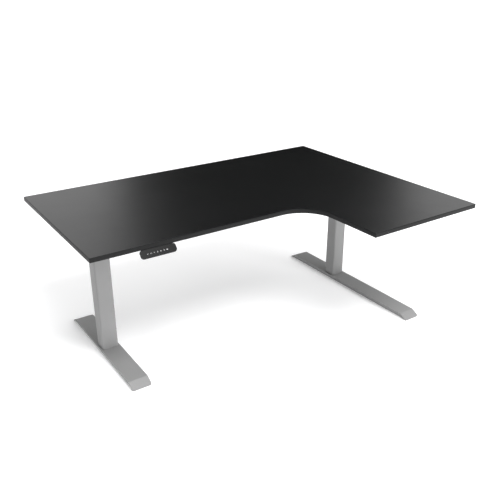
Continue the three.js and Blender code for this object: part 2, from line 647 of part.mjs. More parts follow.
// Back shell: a plate behind the case, a belly for the electronics and a flange under the top.
function handsetCover() {
  const { width, plate, back, flangeBack, flange } = COVER;
  const { centre, thick, wall } = HANDSET;
  const front = -thick - GAP;
  const [left, right] = [centre - width / 2, centre + width / 2];
  const backPlate = faceSlab(1, front - plate, front, MOUNT_PLANE);
  const underFlange = MOUNT_PLANE - flange;
  const reach = (thick + 1) / Math.tan(FACE_TILT);
  const floor = 597;
  const belly = [facePoint(-28, front - 0.7), facePoint(reach, front - 0.7), [flangeBack, MOUNT_PLANE],
    [flangeBack, underFlange], [back + 4, underFlange], [back, underFlange - 4],
    [back, floor + 7], [back - 8, floor]];
  const inner = [facePoint(-25, front + 1), facePoint(0, front + 1), [back - wall, underFlange - 0.2],
    [back - wall, floor + 8], [back - 9, floor + wall + 0.2], [back - 38, floor]];
  const body = join(backPlate, sweepX(belly, left, right));
  const cavity = sweepX(inner, left + wall, right - wall);
  const port = leadPort();
  const holes = [-1, 1].map((side) => (
    rod(2.2, underFlange - 1, MOUNT_PLANE + 1, 12).translate(centre + side * 44, back + 20, 0)
  ));
  return cut(body, cavity, port, ...holes);
}

// Square way out for the lead through the back of the belly.
function leadPort() {
  const { x, z } = LEAD_PORT;
  return box(x - 3, x + 3, COVER.back - 5, COVER.back + 5, z - 3, z + 3);
}

function handsetBoard() {
  return box(HANDSET.centre - 56, HANDSET.centre + 56, KEY_LINE - 8, KEY_LINE + 10, -6.8, -5.4);
}

// Round key with a retaining flange behind the face.
function key() {
  return turn([[0, -3.8], [KEY_RADIUS + 1, -3.8], [KEY_RADIUS + 1, -2.5], [KEY_RADIUS, -2.5],
    [KEY_RADIUS, 0.5], [KEY_RADIUS - 0.5, 0.9], [0, 0.9]], 16);
}

place(desk, 'handset_case', handsetCase(), blackPlastic);
place(desk, 'handset_cover', handsetCover(), blackPlastic);
place(keyFace, 'handset_board', handsetBoard(), boardGreen);
const keyNames = ['up', 'down', 'one', 'two', 'three', 'four', 'store'];
keyPlaces.forEach((x, i) => place(keyFace, `key_${keyNames[i]}`, key(), keyPlastic, x, KEY_LINE));

export default desk;
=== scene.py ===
# %% [markdown]
# # A corner standing desk
# The desk is a black L-shaped top on two lifting columns of grey steel. The measured model is
# loaded first and stays where it is. This file gives it a camera, a studio, finishes made of
# nodes, and finer meshes for the pieces that a person looks at most.

# %% Load the measured model
import math

import bmesh
import bpy
from mathutils import Matrix, Vector


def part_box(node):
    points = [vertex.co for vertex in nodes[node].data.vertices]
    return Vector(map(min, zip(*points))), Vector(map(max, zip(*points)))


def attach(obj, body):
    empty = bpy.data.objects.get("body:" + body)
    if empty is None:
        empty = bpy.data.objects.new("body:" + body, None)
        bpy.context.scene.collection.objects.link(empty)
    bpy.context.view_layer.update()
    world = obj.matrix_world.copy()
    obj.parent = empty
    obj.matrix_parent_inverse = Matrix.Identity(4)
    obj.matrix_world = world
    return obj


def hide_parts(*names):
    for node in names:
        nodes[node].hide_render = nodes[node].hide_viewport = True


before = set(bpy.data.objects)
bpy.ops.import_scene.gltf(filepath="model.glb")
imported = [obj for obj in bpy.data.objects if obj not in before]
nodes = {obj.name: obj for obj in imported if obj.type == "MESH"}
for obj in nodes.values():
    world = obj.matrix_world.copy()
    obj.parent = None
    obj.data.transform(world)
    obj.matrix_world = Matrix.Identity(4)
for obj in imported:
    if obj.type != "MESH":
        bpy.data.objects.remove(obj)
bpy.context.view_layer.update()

scene = bpy.context.scene

# %% [markdown]
# ## Camera
# A camera is a place, a direction and a lens. The desk is seen from its front left, a little
# above eye height of a person who sits, so that the whole L of the top shows. A 45 mm lens on a
# 36 mm sensor stands back far enough to keep the columns from leaning.

# %% Place the camera
CAMERA_PLACE = (-1.4557, -2.1732, 1.5647)
CAMERA_DOWN = 24.009        # degrees below the horizon
CAMERA_RIGHT = 34.182       # degrees to the right of straight ahead
CAMERA_LENS = 45.10

camera_data = bpy.data.cameras.new("camera")
camera_data.lens = CAMERA_LENS
camera_data.sensor_width = 36
camera_data.clip_end = 100
camera = bpy.data.objects.new("camera", camera_data)
camera.location = CAMERA_PLACE
camera.rotation_euler = (math.radians(90 - CAMERA_DOWN), 0, math.radians(-CAMERA_RIGHT))
scene.collection.objects.link(camera)
scene.camera = camera
print("camera", tuple(round(c, 2) for c in camera.location), "lens", CAMERA_LENS)

# %% [markdown]
# ## Shader helpers
# A procedural finish is arithmetic on textures. Drawing that as nodes by hand is slow, so a
# small class wraps a socket, and Python's + - * on it adds the Math nodes. A second class
# makes every other node: its kind, its settings, then what goes into its sockets.

# %% Sockets that take part in arithmetic
class Signal:
    """A node's output that Python arithmetic turns into Math nodes."""

    def __init__(self, finish, socket):
        self.finish = finish
        self.socket = socket

    def math(self, operation, first, second):
        return self.finish.node("ShaderNodeMath", {"operation": operation}, {0: first, 1: second})

    def __add__(self, other):
        return self.math("ADD", self, other)

    def __radd__(self, other):
        return self.math("ADD", other, self)

    def __sub__(self, other):
        return self.math("SUBTRACT", self, other)

    def __rsub__(self, other):
        return self.math("SUBTRACT", other, self)

    def __mul__(self, other):
        return self.math("MULTIPLY", self, other)

    def __rmul__(self, other):
        return self.math("MULTIPLY", other, self)


print("a Signal takes", [n for n in ("__add__", "__sub__", "__mul__") if hasattr(Signal, n)])

# %% A finish and its nodes
class Finish:
    """A material under construction, with one method that makes any node."""

    def __init__(self, name):
        self.material = bpy.data.materials.new(name)
        self.material.use_nodes = True
        self.tree = self.material.node_tree
        self.shader = self.tree.nodes["Principled BSDF"]

    def node(self, kind, settings, sockets, output=0):
        made = self.tree.nodes.new(kind)
        for name, value in settings.items():
            if name == "stops":
                self.set_stops(made.color_ramp, value)
            else:
                setattr(made, name, value)
        for key, value in sockets.items():
            self.feed(made.inputs[key], value)
        return Signal(self, made.outputs[output])

    def set_stops(self, ramp, stops):
        while len(ramp.elements) < len(stops):
            ramp.elements.new(0.5)
        for element, (place, shade) in zip(ramp.elements, stops):
            element.position = place
            element.color = (shade, shade, shade, 1)

    def feed(self, socket, value):
        if isinstance(value, Signal):
            self.tree.links.new(value.socket, socket)
        else:
            socket.default_value = value

    def place(self):
        return self.node("ShaderNodeTexCoord", {}, {}, "Object")

    def stretched(self, scale):
        return self.node("ShaderNodeMapping", {}, {"Vector": self.place(), "Scale": scale})

    def noise(self, scale, detail=2.0, where=None, roughness=0.5):
        sockets = {"Vector": where or self.place(), "Scale": scale, "Detail": detail}
        sockets["Roughness"] = roughness
        return self.node("ShaderNodeTexNoise", {}, sockets)

    def ramp(self, signal, stops):
        return self.node("ShaderNodeValToRGB", {"stops": stops}, {0: signal})

    def mix(self, mask, first, second):
        return self.node("ShaderNodeMix", {"data_type": "RGBA"}, {0: mask, 6: first, 7: second}, 2)

    def bump(self, height, depth, strength=1.0, under=None):
        sockets = {"Height": height, "Distance": depth, "Strength": strength}
        if under is not None:
            sockets["Normal"] = under
        return self.node("ShaderNodeBump", {}, sockets)

    def set(self, **sockets):
        for name, value in sockets.items():
            self.feed(self.shader.inputs[name.replace("_", " ")], value)
        return self.material


def tint(grey, warmth=0.0):
    """A colour near grey; warmth above 0 leans to brown and below 0 to blue."""
    return (grey * (1 + warmth), grey, grey * (1 - warmth), 1)


print("a cold black", tint(0.01, -0.05))

# %% [markdown]
# ## Studio
# A grey and black object shows its shape by what it mirrors. So the floor and the sky are pale,
# the lamps are large, and four tall dark cards stand far off round the desk, with two gaps.
# They keep the middle of the satin top black, while its far corners still catch the pale sky
# through the gaps. One more card on the left takes light from that side, so that each column
# shows a darker and a lighter face. No camera sees the cards.

# %% Floor and sky
FLOOR_HALF = 40.0
SKY_STRENGTH = 1.12
FLOOR_GLOW = 0.20           # the floor is a white sheet lit a little from below


def studio_plane(name, size_x, size_y, finish):
    mesh = bpy.data.meshes.new(name)
    x, y = size_x / 2, size_y / 2
    mesh.from_pydata([(-x, -y, 0), (x, -y, 0), (x, y, 0), (-x, y, 0)], [], [(0, 1, 2, 3)])
    mesh.materials.append(finish)
    plane = bpy.data.objects.new(name, mesh)
    scene.collection.objects.link(plane)
    return plane


def floor_finish():
    finish = Finish("studio_floor")
    finish.set(Emission_Color=(1, 1, 1, 1), Emission_Strength=FLOOR_GLOW)
    return finish.set(Base_Color=(0.92, 0.92, 0.925, 1), Roughness=0.9, Specular_IOR_Level=0.1)


floor = studio_plane("studio_floor", 2 * FLOOR_HALF, 2 * FLOOR_HALF, floor_finish())
floor.location.z = -0.0005
world = bpy.data.worlds.new("studio_sky")
world.use_nodes = True
world.node_tree.nodes["Background"].inputs["Color"].default_value = (1, 1, 1, 1)
world.node_tree.nodes["Background"].inputs["Strength"].default_value = SKY_STRENGTH
scene.world = world
scene.view_settings.view_transform = "Standard"
print("floor", tuple(floor.dimensions))

# %% Lamps
desk_middle = Vector((0, 0.1, 0.35))


def soft_lamp(name, place, size, watts, aim=desk_middle):
    data = bpy.data.lights.new(name, "AREA")
    data.shape = "RECTANGLE"
    data.size, data.size_y = size
    data.energy = watts
    lamp = bpy.data.objects.new(name, data)
    lamp.location = place
    lamp.rotation_mode = "QUATERNION"
    lamp.rotation_quaternion = (aim - lamp.location).to_track_quat("-Z", "Y")
    scene.collection.objects.link(lamp)
    return lamp


front_lamp = soft_lamp("front_lamp", (1.7, -4.6, 2.9), (2.6, 1.8), 110)
front_lamp.visible_glossy = False       # it would mirror in the top, seen from behind
soft_lamp("high_lamp", (-0.4, -2.5, 4.2), (2.4, 1.8), 190)

# %% Dark cards
CARD_DISTANCE = 15.0
CARD_HEIGHT = 26.0
FAR_CARDS = ((20.0, 51.5), (82.0, 170.0), (170.0, 258.0), (258.0, 346.0))   # degrees right of +Y


def dark_card(name, width, height, place, turn):
    """An upright black card, turned about Z, that the camera never sees."""
    finish = Finish(name)
    black = finish.set(Base_Color=(0, 0, 0, 1), Roughness=1.0, Specular_IOR_Level=0.0)
    card = studio_plane(name, width, height, black)
    card.location = place
    card.rotation_euler = (math.radians(90), 0, turn)
    card.visible_camera = False
    card.visible_shadow = False
    return card


def far_card(name, left, right):
    """A card that fills the view from the desk between two directions, in reflections only."""
    middle = math.radians((left + right) / 2)
    width = 2 * CARD_DISTANCE * math.tan(math.radians((right - left) / 2))
    place = (CARD_DISTANCE * math.sin(middle), CARD_DISTANCE * math.cos(middle), CARD_HEIGHT / 2)
    card = dark_card(name, width, CARD_HEIGHT, place, -middle)
    card.visible_diffuse = False
    return card


cards = [far_card(f"far_card_{i + 1}", *span) for i, span in enumerate(FAR_CARDS)]
side_card = dark_card("side_card", 9.0, 5.0, (-3.9, 0.8, 3.1), math.radians(90))
print("far cards", [round(c.dimensions.x, 1) for c in cards], "side card", tuple(side_card.dimensions))

# %% [markdown]
# ## Finishes
# Each finish below starts from what the real surface is: a pressed laminate, a sprayed and
# baked powder, a moulded plastic. Its texture is given in real sizes, because the noise scale
# counts waves per metre.

# %% Laminate and edge band
def laminate_finish():
    """Black melamine board: satin, with a very fine pressed grain and faint handling marks."""
    finish = Finish("desk_laminate")
    grain = finish.noise(2600, 3)
    pores = finish.noise(700, 2)
    cloud = finish.noise(2.6, 4)
    handling = finish.ramp(finish.noise(7, 5), [(0.42, 0.0), (0.68, 1.0)])
    shade = finish.mix(cloud, tint(0.0040, -0.05), tint(0.0065, -0.04))
    shade = finish.mix(pores * 0.35, shade, tint(0.012, -0.03))
    rough = 0.30 + handling * 0.02 + (grain - 0.5) * 0.05
    normal = finish.bump(grain * 0.6 + pores * 0.4, 0.00006, 0.55)
    return finish.set(Base_Color=shade, Roughness=rough, Normal=normal, IOR=1.48)


def edge_finish():
    """Black plastic strip, a little duller than the board, with fine lines along it."""
    finish = Finish("edge_banding")
    lines = finish.noise(300, 3, finish.stretched((0.04, 0.04, 6.0)))
    speck = finish.noise(1500, 2)
    shade = finish.mix(speck, tint(0.004, -0.04), tint(0.007, -0.04))
    normal = finish.bump(lines * 0.5 + speck * 0.5, 0.00008, 0.5)
    finish.set(Specular_IOR_Level=0.22)
    return finish.set(Base_Color=shade, Roughness=0.42 + speck * 0.08, Normal=normal)


def node_count(*materials):
    return {m.name: len(m.node_tree.nodes) for m in materials}


laminate = laminate_finish()
edging = edge_finish()
print("nodes", node_count(laminate, edging))

# %% Powder coat
def powder_finish(grey):
    """Baked powder paint: satin, with the soft ripple called orange peel and a fine sand."""
    finish = Finish("powder_coat")
    peel = finish.noise(420, 2)
    sand = finish.noise(2400, 2)
    cloud = finish.noise(6, 3)
    shade = finish.mix(cloud, tint(grey * 0.93), tint(grey * 1.05))
    shade = finish.mix((sand - 0.35) * 0.6, shade, tint(grey * 1.35))
    rough = 0.42 + (peel - 0.5) * 0.12 + (sand - 0.5) * 0.1
    ripple = finish.bump(peel, 0.00012, 0.7)
    normal = finish.bump(sand, 0.00004, 0.6, ripple)
    return finish.set(Base_Color=shade, Roughness=rough, Normal=normal, Metallic=0.0, IOR=1.5)


powder = powder_finish(0.235)
print("nodes", node_count(powder))

# %% Plastics
def plastic_finish(name, grey, rough, texture=1100, depth=0.00006, warmth=-0.02):
    """Moulded plastic with the fine etched texture of its mould."""
    finish = Finish(name)
    finish.set(Specular_IOR_Level=0.20)
    etched = finish.noise(texture, 3, roughness=0.65)
    cloud = finish.noise(20, 2)
    shade = finish.mix(cloud, tint(grey * 0.9, warmth), tint(grey * 1.12, warmth))
    roughness = rough + (etched - 0.5) * 0.15
    normal = finish.bump(etched, depth, 0.7)
    return finish.set(Base_Color=shade, Roughness=roughness, Normal=normal)


case_plastic = plastic_finish("black_plastic", 0.0055, 0.45)
key_plastic = plastic_finish("key_plastic", 0.016, 0.40, 1600, 0.00003)
guide_plastic = plastic_finish("guide_plastic", 0.012, 0.5)
gear_plastic = plastic_finish("gear_plastic", 0.62, 0.45, 900, 0.00004, 0.08)
pad_plastic = plastic_finish("pad_plastic", 0.02, 0.6, 500)
print("nodes", node_count(case_plastic, key_plastic, guide_plastic, gear_plastic, pad_plastic))

# %% Metals
def steel_finish(name, grey, rough, stretch, warmth=0.0):
    """Bare or plated steel; the stretch gives the direction of its fine drawing lines."""
    finish = Finish(name)
    lines = finish.noise(260, 4, finish.stretched(stretch))
    stain = finish.noise(30, 4)
    shade = finish.mix(stain, tint(grey * 0.86, warmth), tint(grey, warmth))
    roughness = rough + (lines - 0.5) * 0.18 + (stain - 0.5) * 0.12
    normal = finish.bump(lines, 0.00003, 0.5)
    return finish.set(Base_Color=shade, Roughness=roughness, Metallic=1.0, Normal=normal)


def screw_finish():
    """Ground screw: the thread is drawn as rings of bump along the height."""
    finish = Finish("threaded_steel")
    wave = {"wave_type": "BANDS", "bands_direction": "Z", "wave_profile": "TRI"}
    thread = finish.node("ShaderNodeTexWave", wave, {"Vector": finish.place(), "Scale": 63.0}, "Fac")
    stain = finish.noise(60, 3)
    shade = finish.mix(stain, tint(0.42), tint(0.55))
    normal = finish.bump(thread, 0.0012, 1.0)
    return finish.set(Base_Color=shade, Roughness=0.28 + stain * 0.1, Metallic=1.0, Normal=normal)


ground_steel = steel_finish("ground_steel", 0.60, 0.28, (1, 1, 0.05))
zinc_steel = steel_finish("zinc_steel", 0.52, 0.38, (0.1, 0.1, 1), 0.02)
cast_metal = steel_finish("cast_metal", 0.36, 0.5, (1, 1, 1))
threaded_steel = screw_finish()
print("nodes", node_count(ground_steel, zinc_steel, cast_metal, threaded_steel))

# %% Cable sheath, circuit board, printed signs
def sheath_finish():
    """Soft black cable sheath, dull, with faint lengthwise rubbing."""
    finish = Finish("cable_sheath")
    rub = finish.noise(90, 4)
    fine = finish.noise(1800, 2)
    shade = finish.mix(rub, tint(0.012), tint(0.03))
    return finish.set(Base_Color=shade, Roughness=0.5 + rub * 0.2, Normal=finish.bump(fine, 0.00004))


def board_finish():
    """Green circuit board with a fine weave under its lacquer."""
    finish = Finish("circuit_board")
    weave = finish.node("ShaderNodeTexChecker", {}, {"Vector": finish.place(), "Scale": 1600.0}, "Fac")
    shade = finish.mix(weave * 0.4, (0.010, 0.085, 0.040, 1), (0.020, 0.120, 0.060, 1))
    return finish.set(Base_Color=shade, Roughness=0.35, Normal=finish.bump(weave, 0.00002, 0.4))


def sign_finish():
    """Pale printed ink of the signs on the keys."""
    finish = Finish("sign_ink")
    speck = finish.noise(3000, 2)
    shade = finish.mix(speck, tint(0.55), tint(0.72))
    return finish.set(Base_Color=shade, Roughness=0.6, Normal=finish.bump(speck, 0.00002, 0.3))


sheath = sheath_finish()
circuit = board_finish()
sign_ink = sign_finish()
print("nodes", node_count(sheath, circuit, sign_ink))

# %% [markdown]
# ## Mesh helpers
# Most of this desk is folded, drawn or sawn, so its fine shapes are lofts: a row of outlines
# with the same number of points, joined one to the next. Round screws and pads are profiles
# turned about an axis. Every edge of a real piece is a little round, and that small round is
# what catches a line of light.

# %% Objects from points
def new_piece(name, points, faces, finish, body, smooth=True, sharp=35):
    """A mesh object with one finish, riding on a body; edges sharper than `sharp` stay sharp."""
    mesh = bpy.data.meshes.new(name)
    mesh.from_pydata([tuple(p) for p in points], [], faces)
    work = bmesh.new()
    work.from_mesh(mesh)
    bmesh.ops.remove_doubles(work, verts=work.verts, dist=1e-7)
    bmesh.ops.recalc_face_normals(work, faces=work.faces)
    for face in work.faces:
        face.smooth = smooth
    for edge in work.edges:
        if len(edge.link_faces) == 2 and edge.calc_face_angle(0) > math.radians(sharp):
            edge.smooth = False
    work.to_mesh(mesh)
    work.free()
    mesh.materials.append(finish)
    piece = bpy.data.objects.new(name, mesh)
    scene.collection.objects.link(piece)
    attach(piece, body)
    return piece


def loft(rings, closed=False):
    """Points and faces of a skin through rings of equal length, capped unless it closes."""
    count = len(rings[0])
    points = [p for ring in rings for p in ring]
    faces = []
    steps = len(rings) if closed else len(rings) - 1
    for i in range(steps):
        first, second = i * count, (i + 1) % len(rings) * count
        for j in range(count):
            k = (j + 1) % count
            faces.append((first + j, first + k, second + k, second + j))
    if not closed:
        faces.append(tuple(range(count)))
        faces.append(tuple(reversed(range(len(points) - count, len(points)))))
    return points, faces


def turned(profile, sides=32):
    """Points and faces of a profile of (radius, height) turned about Z; its ends are capped."""
    rings = []
    for radius, height in profile:
        spokes = [2 * math.pi * j / sides for j in range(sides)]
        rings.append([(radius * math.cos(a), radius * math.sin(a), height) for a in spokes])
    return loft(rings)


def merged(parts):
    """Several (points, faces) as one."""
    points, faces = [], []
    for some_points, some_faces in parts:
        start = len(points)
        points.extend(some_points)
        faces.extend(tuple(i + start for i in face) for face in some_faces)
    return points, faces


def moved(part, matrix):
    points, faces = part
    return [matrix @ Vector(p) for p in points], faces


def facing(place, axis):
    """The matrix that takes +Z to `axis` and the origin to `place`."""
    turn = Vector(axis).to_track_quat("Z", "Y").to_matrix().to_4x4()
    return Matrix.Translation(Vector(place)) @ turn


sample = turned([(0.01, 0.0), (0.01, 0.02)], 8)
print("a turned rod of 8 sides has", len(sample[1]), "faces")

# %% Rounded outlines
def arc(centre, radius, start, end, steps):
    """Points of an arc in the plane; angles in degrees."""
    made = []
    for i in range(steps + 1):
        angle = math.radians(start + (end - start) * i / steps)
        made.append((centre[0] + radius * math.cos(angle), centre[1] + radius * math.sin(angle)))
    return made


def rounded_box(low, high, radius, steps=6):
    """Outline of a rectangle from its low corner to its high one, with round corners."""
    (x0, y0), (x1, y1) = low, high
    r = radius
    return (arc((x1 - r, y0 + r), r, -90, 0, steps) + arc((x1 - r, y1 - r), r, 0, 90, steps)
            + arc((x0 + r, y1 - r), r, 90, 180, steps) + arc((x0 + r, y0 + r), r, 180, 270, steps))


def at_height(outline, z):
    return [(x, y, z) for x, y in outline]


print("a rounded box has", len(rounded_box((0, 0), (1, 1), 0.1)), "points")

# %% [markdown]
# ## Finer edges on the measured pieces
# The measured nodes have knife-sharp edges. A short stack of modifiers rounds them without
# touching the mesh itself: weld the split corners, melt flat triangles into whole faces, bevel
# what is still sharp, and let the large faces set the shading.

# %% Round the edges of a node
def soften(node, width, segments=2):
    weld = node.modifiers.new("weld", "WELD")
    weld.merge_threshold = 0.00001
    melt = node.modifiers.new("melt", "DECIMATE")
    melt.decimate_type = "DISSOLVE"
    melt.angle_limit = math.radians(0.6)
    edges = node.modifiers.new("edges", "BEVEL")
    edges.width = width
    edges.segments = segments
    edges.limit_method = "ANGLE"
    edges.angle_limit = math.radians(40)
    shading = node.modifiers.new("shading", "WEIGHTED_NORMAL")
    shading.keep_sharp = True


def wear(node_name, finish, width=0.0, segments=2):
    """Gives a measured node its finish and, with a width, round edges."""
    node = nodes[node_name]
    if node.material_slots:
        node.material_slots[0].material = finish
    else:
        node.data.materials.append(finish)
    if width:
        soften(node, width, segments)
    return node


SIDES = ("left", "right")
for side in SIDES:
    wear(f"{side}_foot", powder, 0.0014, 3)
    wear(f"{side}_column_head", powder, 0.0012)
    wear(f"{side}_front_arm", powder, 0.0010)
    wear(f"{side}_back_arm", powder, 0.0010)
    wear(f"{side}_outer_guide", guide_plastic, 0.0005)
    wear(f"{side}_middle_guide", guide_plastic, 0.0005)
    wear(f"{side}_nut_tube", zinc_steel)
    wear(f"{side}_middle_carrier", zinc_steel)
    wear(f"{side}_hollow_screw", threaded_steel)
    wear(f"{side}_spindle", threaded_steel)
    wear(f"{side}_worm", ground_steel)
    wear(f"{side}_worm_wheel", gear_plastic, 0.0003)
    wear(f"{side}_gearbox", cast_metal, 0.0010)
    wear(f"{side}_motor_lead", sheath)
    wear(f"{side}_front_glide", pad_plastic, 0.0005)
    wear(f"{side}_back_glide", pad_plastic, 0.0005)
for name in ("front_rail_sleeve", "back_rail_sleeve", "front_rail_slider", "back_rail_slider"):
    wear(name, powder, 0.0012)
wear("control_box", case_plastic, 0.0010)
wear("power_inlet", guide_plastic, 0.0004)
wear("handset_lead", sheath)
wear("handset_case", case_plastic, 0.0008, 3)
wear("handset_cover", case_plastic, 0.0004)
wear("handset_board", circuit, 0.0002)
print("finished nodes", sum(1 for n in nodes.values() if n.material_slots))

# %% [markdown]
# ## Top
# The top is a pressed board with a plastic strip glued round its edge and trimmed with a small
# radius. It is made as two lofts along the same L-shaped outline, so that the strip is a real
# ring with its own finish and the joint between the two shows as a hairline.

# %% Outline of the top
top_low, top_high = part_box("desktop")
band_low, band_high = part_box("edge_band")
NOTCH_RADIUS = 0.150
RETURN_WIDTH = 0.600
MAIN_DEPTH = 0.800
CORNER_RADIUS = 0.0025
BAND_THICK = 0.0012


def top_outline(inset):
    """The L of the top, `inset` inside its finished edge, always with the same point count."""
    x0, y0 = band_low.x + inset, band_low.y + inset
    x1, y1 = band_high.x - inset, band_high.y - inset
    front = band_high.y - MAIN_DEPTH + inset
    inner = band_high.x - RETURN_WIDTH + inset
    r = max(CORNER_RADIUS - inset, 0.0003)
    notch = (band_high.x - RETURN_WIDTH - NOTCH_RADIUS, band_high.y - MAIN_DEPTH - NOTCH_RADIUS)
    return (arc((x1 - r, y0 + r), r, -90, 0, 4) + arc((x1 - r, y1 - r), r, 0, 90, 4)
            + arc((x0 + r, y1 - r), r, 90, 180, 4) + arc((x0 + r, front + r), r, 180, 270, 4)
            + arc(notch, NOTCH_RADIUS + inset, 90, 0, 40) + arc((inner + r, y0 + r), r, 180, 270, 4))


# %% Board and strip
def strip_section():
    """(inset, height) round the strip's section, with a trimmed radius at both outer corners."""
    radius = 0.0009
    low, high = band_low.z, band_high.z
    section = [(BAND_THICK, low)]
    for i in range(5):
        turn = math.radians(90 * i / 4)
        section.append((radius * (1 - math.sin(turn)), low + radius * (1 - math.cos(turn))))
    for i in range(5):
        turn = math.radians(90 * i / 4)
        section.append((radius * (1 - math.cos(turn)), high - radius * (1 - math.sin(turn))))
    section.append((BAND_THICK, high))
    return section


def make_top():
    rings = [at_height(top_outline(BAND_THICK + 0.00005), z) for z in (top_low.z, top_high.z)]
    board = new_piece("desk_board", *loft(rings), laminate, "top")
    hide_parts("desktop")
    rings = [at_height(top_outline(inset), z) for inset, z in strip_section()]
    strip = new_piece("edge_strip", *loft(rings, closed=True), edging, "top", sharp=60)
    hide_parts("edge_band")
    return board, strip


board, strip = make_top()
print("top", tuple(round(d, 4) for d in strip.dimensions))

# %% [markdown]
# ## Columns
# Each column is three drawn steel tubes, one in the next, with round corners. On the measured
# nodes those corners are only a few flats, so each tube is made again as one closed loft: up
# the outside, over a rounded mouth, down the inside and round below.

# %% Telescoping tubes
TUBE_WALL = 0.002
TUBE_CORNERS = {"outer_tube": 0.008, "middle_tube": 0.0065, "inner_tube": 0.005}
TUBE_BODIES = {"outer_tube": "base", "middle_tube": "{}_middle_stage", "inner_tube": "top"}


def tube_ring(low, high, corner, inset, z):
    inner_low = (low.x + inset, low.y + inset)
    inner_high = (high.x - inset, high.y - inset)
    return at_height(rounded_box(inner_low, inner_high, corner - inset, 8), z)


def fine_tube(side, name):
    low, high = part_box(f"{side}_{name}")
    ease = 0.0004
    section = [(ease, low.z), (0, low.z + ease), (0, high.z - ease), (ease, high.z)]
    section += [(TUBE_WALL - ease, high.z), (TUBE_WALL, high.z - ease), (TUBE_WALL, low.z + ease)]
    section.append((TUBE_WALL - ease, low.z))
    rings = [tube_ring(low, high, TUBE_CORNERS[name], inset, z) for inset, z in section]
    tube = new_piece(f"{side}_fine_{name}", *loft(rings, closed=True), powder, TUBE_BODIES[name].format(side))
    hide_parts(f"{side}_{name}")
    return tube


tubes = [fine_tube(side, name) for side in SIDES for name in TUBE_CORNERS]
print("tubes", len(tubes), "heights", sorted({round(t.dimensions.z, 3) for t in tubes}))

# %% [markdown]
# ## Screws
# A flat-packed desk is held by screws that a hex key turns, and from below they are what tells
# a real frame from a drawn one. One loft makes them all: a flange, a rounded head, and a
# six-sided socket that goes in. The ring count of the hexagon equals that of the circle.

# %% Socket screw
RING_POINTS = 24


def circle(radius, z):
    spokes = [2 * math.pi * j / RING_POINTS for j in range(RING_POINTS)]
    return [(radius * math.cos(a), radius * math.sin(a), z) for a in spokes]


def hexagon(across, z):
    """A hexagon with as many points as a circle; `across` is between its flats."""
    made = []
    for j in range(RING_POINTS):
        angle = 360 * j / RING_POINTS
        off_flat = math.radians((angle + 30) % 60 - 30)
        radius = across / 2 / math.cos(off_flat)
        made.append((radius * math.cos(math.radians(angle)), radius * math.sin(math.radians(angle)), z))
    return made


def socket_screw(radius, height, flange=1.0):
    """A screw head on the plane z = 0; a flange above 1 adds a washer face under it."""
    skirt = height * 0.15
    rings = [circle(radius * flange, 0), circle(radius * flange, skirt), circle(radius, skirt * 1.1)]
    rings += [circle(radius, height * 0.75), circle(radius * 0.95, height * 0.93)]
    rings += [circle(radius * 0.85, height), hexagon(radius * 0.95, height)]
    rings.append(hexagon(radius * 0.92, height * 0.45))
    return loft(rings)


def screws(name, places, axis, size, finish, body):
    """One piece holding a screw at every place, its head pointing along the axis."""
    heads = [moved(socket_screw(*size), facing(place, axis)) for place in places]
    piece = new_piece(name, *merged(heads), finish, body)
    return piece


DOWN = (0, 0, -1)
BOLT_SIZE = (0.0060, 0.0052, 1.3)       # head radius and height, flange
WOOD_SCREW_SIZE = (0.0042, 0.0030, 1.12)
RAIL_SCREW_SIZE = (0.0045, 0.0032, 1.15)
FLANGE_SCREW_SIZE = (0.0036, 0.0022, 1.1)
SMALL_SCREW_SIZE = (0.0028, 0.0016, 1.0)


def column_middle(side):
    low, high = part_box(f"{side}_outer_tube")
    return (low.x + high.x) / 2, (low.y + high.y) / 2


print("column middles", [tuple(round(c, 3) for c in column_middle(side)) for side in SIDES])

# %% Bolts under the feet
FOOT_WALL = 0.0025
BOLT_OFFSETS = [(x, y) for x in (-0.022, 0.022) for y in (-0.019, 0.019)]

for side in SIDES:
    x, y = column_middle(side)
    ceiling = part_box(f"{side}_foot")[1].z - FOOT_WALL
    places = [(x + dx, y + dy, ceiling) for dx, dy in BOLT_OFFSETS]
    screws(f"{side}_foot_bolts", places, DOWN, BOLT_SIZE, zinc_steel, "base")
print("foot bolts", len(SIDES) * len(BOLT_OFFSETS))

# %% Lock nuts of the levelling pads
BRIDGE_TOP = 0.013          # upper face of the foot's bridge over the floor
NUT_ACROSS, NUT_HEIGHT, NUT_BORE = 0.013, 0.005, 0.00415


def lock_nut(side, end):
    """A hexagon nut on the bridge, round the stud of a pad."""
    low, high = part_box(f"{side}_{end}_glide")
    ease, top = 0.0006, NUT_HEIGHT
    rings = [hexagon(NUT_ACROSS, 0.0001), hexagon(NUT_ACROSS, top - ease), circle(NUT_ACROSS / 2, top)]
    rings += [circle(NUT_BORE + ease, top), circle(NUT_BORE, top - ease), circle(NUT_BORE, 0.0001)]
    place = Matrix.Translation(((low.x + high.x) / 2, (low.y + high.y) / 2, BRIDGE_TOP))
    nut = new_piece(f"{side}_{end}_glide_nut", *moved(loft(rings, closed=True), place), zinc_steel, "base")
    return nut


nuts = [lock_nut(side, end) for side in SIDES for end in ("front", "back")]
print("lock nuts", len(nuts))

# %% Wood screws through the arms
ARM_WALL = 0.003
ARM_PARTS = (0.3, 0.62, 0.92)


def arm_screws(side, end):
    low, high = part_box(f"{side}_{end}_arm")
    x = (low.x + high.x) / 2
    root, tip = (high.y, low.y) if end == "front" else (low.y, high.y)
    places = [(x, root + (tip - root) * part, high.z - ARM_WALL) for part in ARM_PARTS]
    return screws(f"{side}_{end}_arm_screws", places, DOWN, WOOD_SCREW_SIZE, zinc_steel, "top")


for side in SIDES:
    for end in ("front", "back"):
        arm_screws(side, end)
print("arm screws", len(SIDES) * 2 * len(ARM_PARTS))

